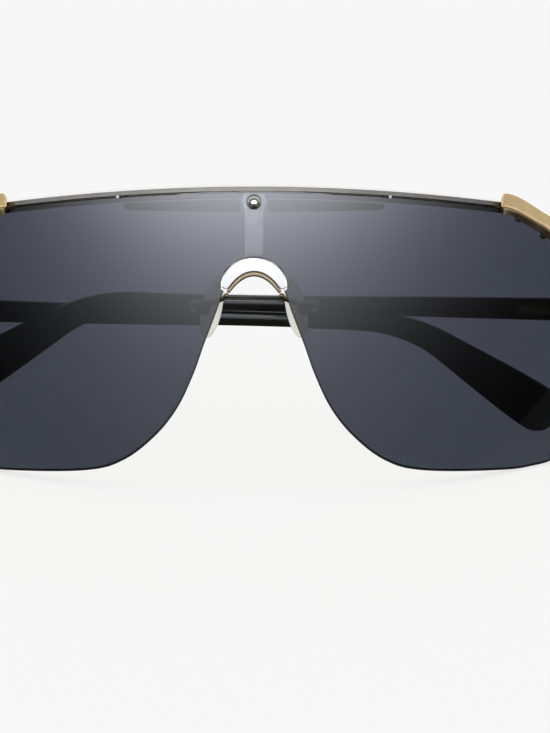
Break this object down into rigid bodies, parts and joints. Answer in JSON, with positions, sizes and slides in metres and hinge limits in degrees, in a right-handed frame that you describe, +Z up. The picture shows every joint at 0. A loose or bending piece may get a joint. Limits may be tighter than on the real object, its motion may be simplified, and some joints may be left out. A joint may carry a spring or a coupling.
{
  "type": "shield sunglasses",
  "caption": "Shield sunglasses: curved smoke lens hung under a metal brow bar, gold end pieces, folding black temples and rocking silicone nose pads.",
  "frame": {"origin": "on the ground under the middle of the folded glasses' bounding box", "axes": "+X towards the wearer's left, along the lens's width; +Y towards the wearer; +Z up. The frame leans back 10.0 degrees, standing on the lens's lower edge and one temple tip"},
  "size_m": [0.1488, 0.0408, 0.0661],
  "materials": {
    "smoke_lens": "polished",
    "pale_gold": "polished",
    "bright_metal": "polished",
    "steel": "satin",
    "black_acetate": "gloss",
    "clear_silicone": "satin"
  },
  "bodies": {
    "frame": {"shield_lens": "smoke_lens", "brow_bar": "pale_gold", "centre_strut": "bright_metal", "centre_screw": "bright_metal", "front_washer": "bright_metal", "rear_washer": "steel", "centre_nut": "steel", "bridge_saddle": "bright_metal", "bridge_rail": "pale_gold", "brow_plate_left": "pale_gold", "brow_claw_left": "bright_metal", "pad_arm_left": "pale_gold", "pad_box_left": "pale_gold", "pad_screw_left": "steel", "end_piece_left": "pale_gold", "lens_clamp_left": "pale_gold", "end_screw_left_1": "steel", "end_screw_left_2": "steel", "front_leaf_left": "pale_gold", "hinge_screw_left": "steel", "brow_plate_right": "pale_gold", "brow_claw_right": "bright_metal", "pad_arm_right": "pale_gold", "pad_box_right": "pale_gold", "pad_screw_right": "steel", "end_piece_right": "pale_gold", "lens_clamp_right": "pale_gold", "end_screw_right_1": "steel", "end_screw_right_2": "steel", "front_leaf_right": "pale_gold", "hinge_screw_right": "steel"},
    "temple_left": {"temple_left": "black_acetate", "temple_leaf_left": "pale_gold", "leaf_rivet_left_1": "steel", "leaf_rivet_left_2": "steel", "core_wire_left": "steel"},
    "temple_right": {"temple_right": "black_acetate", "temple_leaf_right": "pale_gold", "leaf_rivet_right_1": "steel", "leaf_rivet_right_2": "steel", "core_wire_right": "steel"},
    "nose_pad_left": {"nose_pad_left": "clear_silicone", "pad_lug_left": "steel"},
    "nose_pad_right": {"nose_pad_right": "clear_silicone", "pad_lug_right": "steel"}
  },
  "joints": [
    {"name": "temple_left_hinge", "type": "hinge", "parent": "frame", "child": "temple_left", "pos_m": [0.069, 0.01157, 0.02984], "axis": [-0.0236, -0.174, -0.9845], "range_deg": [0, 91.5]},
    {"name": "temple_right_hinge", "type": "hinge", "parent": "frame", "child": "temple_right", "pos_m": [-0.069, 0.01157, 0.02984], "axis": [0.0366, 0.174, 0.9841], "range_deg": [0, 87.5]},
    {"name": "nose_pad_left_rock", "type": "hinge", "parent": "frame", "child": "nose_pad_left", "pos_m": [0.0112, -0.00817, 0.03768], "axis": [-0.5299, -0.8351, 0.1476], "range_deg": [-10, 10]},
    {"name": "nose_pad_right_rock", "type": "hinge", "parent": "frame", "child": "nose_pad_right", "pos_m": [-0.0112, -0.00817, 0.03768], "axis": [-0.5299, 0.8351, -0.1476], "range_deg": [-10, 10]}
  ]
}
